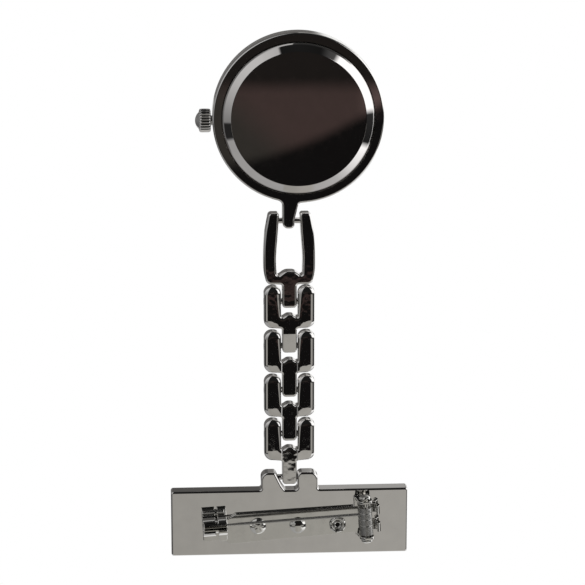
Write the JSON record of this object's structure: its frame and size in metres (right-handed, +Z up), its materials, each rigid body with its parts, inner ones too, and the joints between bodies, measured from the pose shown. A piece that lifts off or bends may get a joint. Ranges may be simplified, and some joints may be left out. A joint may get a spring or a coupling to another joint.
{
  "type": "fob watch",
  "caption": "Pendant nurse watch: round snap-back case with crown, on a hinged polished link chain below a rectangular bar brooch with safety catch.",
  "frame": {"origin": "middle of the bar's flat back face, where the brooch lies against the cloth", "axes": "+Z up along the hanging chain, the watch below; +Y out of the back, towards the wearer; -Y out of the dial; X along the bar"},
  "size_m": [0.041, 0.0115, 0.091],
  "materials": {
    "bar_chrome": "smooth bright plate, near mirror",
    "finding_nickel": "stamped and nickel plated sheet, bright",
    "needle_steel": "drawn and polished wire",
    "chain_chrome": "polished mirror plate",
    "case_chrome": "polished mirror plate",
    "back_chrome": "polished mirror plate",
    "crystal_glass": "clear mineral glass, slightly domed",
    "gasket_rubber": "matte black",
    "dial_enamel": "white enamel with printed numbers",
    "hand_lacquer": "black lacquer",
    "second_lacquer": "red lacquer",
    "holder_plastic": "moulded, matte",
    "steel": "turned and brushed",
    "plate_brass": "fine machined face",
    "wheel_brass": "gilt, cut teeth",
    "cell_steel": "pressed steel can",
    "board": "green solder mask",
    "coil_copper": "enamelled copper wire",
    "magnet": "sintered, dark"
  },
  "bodies": {
    "bar": {"bar_plate": "bar_chrome", "brooch_strip": "finding_nickel", "rivet_left": "finding_nickel", "rivet_centre": "finding_nickel", "rivet_right": "finding_nickel", "needle_pivot": "finding_nickel", "catch_base": "finding_nickel", "bar_pin": "chain_chrome"},
    "needle": {"needle": "needle_steel"},
    "catch_roller": {"catch_roller": "finding_nickel"},
    "link_1": {"chain_link_1": "chain_chrome", "link_pin_1": "chain_chrome"},
    "link_2": {"chain_link_2": "chain_chrome", "link_pin_2": "chain_chrome"},
    "link_3": {"chain_link_3": "chain_chrome", "link_pin_3": "chain_chrome"},
    "link_4": {"chain_link_4": "chain_chrome", "link_pin_4": "chain_chrome"},
    "long_link": {"long_link": "chain_chrome", "case_pin": "chain_chrome"},
    "case": {"case_body": "case_chrome", "case_back": "back_chrome", "back_gasket": "gasket_rubber", "crystal": "crystal_glass", "crystal_gasket": "gasket_rubber", "dial": "dial_enamel", "dial_ring": "dial_enamel", "movement_holder": "holder_plastic", "crown_tube": "steel", "main_plate": "plate_brass", "train_bridge": "steel", "bridge_screw_1": "steel", "bridge_screw_2": "steel", "battery": "cell_steel", "battery_clip": "wheel_brass", "circuit_board": "board", "coil": "coil_copper", "stator": "steel"},
    "setting_pinion": {"setting_pinion": "plate_brass"},
    "crown": {"crown": "case_chrome", "crown_gasket": "gasket_rubber", "setting_stem": "steel"},
    "minute_hand": {"minute_hand": "hand_lacquer", "cannon_pinion": "steel", "centre_wheel": "wheel_brass"},
    "hour_hand": {"hour_hand": "hand_lacquer", "hour_wheel": "wheel_brass"},
    "minute_wheel": {"minute_wheel": "wheel_brass"},
    "second_hand": {"second_hand": "second_lacquer", "fourth_wheel": "wheel_brass"},
    "third_wheel": {"third_wheel": "wheel_brass"},
    "fifth_wheel": {"fifth_wheel": "wheel_brass"},
    "rotor": {"rotor": "magnet"}
  },
  "joints": [
    {"name": "link_1_hinge", "type": "hinge", "parent": "bar", "child": "link_1", "pos_m": [0, -0.0013, -0.00778], "axis": [1, 0, 0], "range_deg": [-40, 40]},
    {"name": "link_2_hinge", "type": "hinge", "parent": "link_1", "child": "link_2", "pos_m": [0, -0.0013, -0.01561], "axis": [1, 0, 0], "range_deg": [-40, 40]},
    {"name": "link_3_hinge", "type": "hinge", "parent": "link_2", "child": "link_3", "pos_m": [0, -0.0013, -0.02344], "axis": [1, 0, 0], "range_deg": [-40, 40]},
    {"name": "link_4_hinge", "type": "hinge", "parent": "link_3", "child": "link_4", "pos_m": [0, -0.0013, -0.03127], "axis": [1, 0, 0], "range_deg": [-40, 40]},
    {"name": "long_link_hinge", "type": "hinge", "parent": "link_4", "child": "long_link", "pos_m": [0, -0.0013, -0.0391], "axis": [1, 0, 0], "range_deg": [-40, 40]},
    {"name": "case_hinge", "type": "hinge", "parent": "long_link", "child": "case", "pos_m": [0, -0.0013, -0.0531], "axis": [1, 0, 0], "range_deg": [-40, 40]},
    {"name": "needle_hinge", "type": "hinge", "parent": "bar", "child": "needle", "pos_m": [0.01307, 0.0025, -0.00056], "axis": [-0.0628, 0, -0.998], "range_deg": [0, 80]},
    {"name": "catch_turn", "type": "hinge", "parent": "bar", "child": "catch_roller", "pos_m": [-0.01297, 0.0025, -0.00038], "axis": [-0.998, 0, 0.0628], "range_deg": [0, 105]},
    {"name": "crown_turn", "type": "hinge", "parent": "case", "child": "setting_pinion", "pos_m": [-0.00598, -0.00258, -0.07015], "axis": [-1, 0, 0], "continuous": true},
    {"name": "crown_pull", "type": "slide", "parent": "setting_pinion", "child": "crown", "axis": [-1, 0, 0], "range_m": [0, 0.0007]},
    {"name": "minute_turn", "type": "hinge", "parent": "case", "child": "minute_hand", "pos_m": [0.00152, -0.00248, -0.07075], "axis": [0, 1, 0], "continuous": true},
    {"name": "hour_turn", "type": "hinge", "parent": "case", "child": "hour_hand", "pos_m": [0.00152, -0.00248, -0.07075], "axis": [0, 1, 0], "continuous": true},
    {"name": "minute_wheel_turn", "type": "hinge", "parent": "case", "child": "minute_wheel", "pos_m": [0.00262, -0.00248, -0.06885], "axis": [0, 1, 0], "continuous": true},
    {"name": "second_turn", "type": "hinge", "parent": "case", "child": "second_hand", "pos_m": [0.00152, -0.00248, -0.07075], "axis": [0, 1, 0], "continuous": true},
    {"name": "third_wheel_turn", "type": "hinge", "parent": "case", "child": "third_wheel", "pos_m": [0.00017, -0.00248, -0.06841], "axis": [0, 1, 0], "continuous": true},
    {"name": "fifth_wheel_turn", "type": "hinge", "parent": "case", "child": "fifth_wheel", "pos_m": [0.00056, -0.00248, -0.07338], "axis": [0, 1, 0], "continuous": true},
    {"name": "rotor_turn", "type": "hinge", "parent": "case", "child": "rotor", "pos_m": [-0.00105, -0.00248, -0.07473], "axis": [0, 1, 0], "continuous": true}
  ],
  "couplings": [
    {"joint": "hour_turn", "follows": "minute_turn", "ratio": 0.083333},
    {"joint": "minute_wheel_turn", "follows": "minute_turn", "ratio": -0.33333},
    {"joint": "third_wheel_turn", "follows": "second_turn", "ratio": -0.13333},
    {"joint": "fifth_wheel_turn", "follows": "second_turn", "ratio": -6},
    {"joint": "rotor_turn", "follows": "second_turn", "ratio": 30}
  ]
}
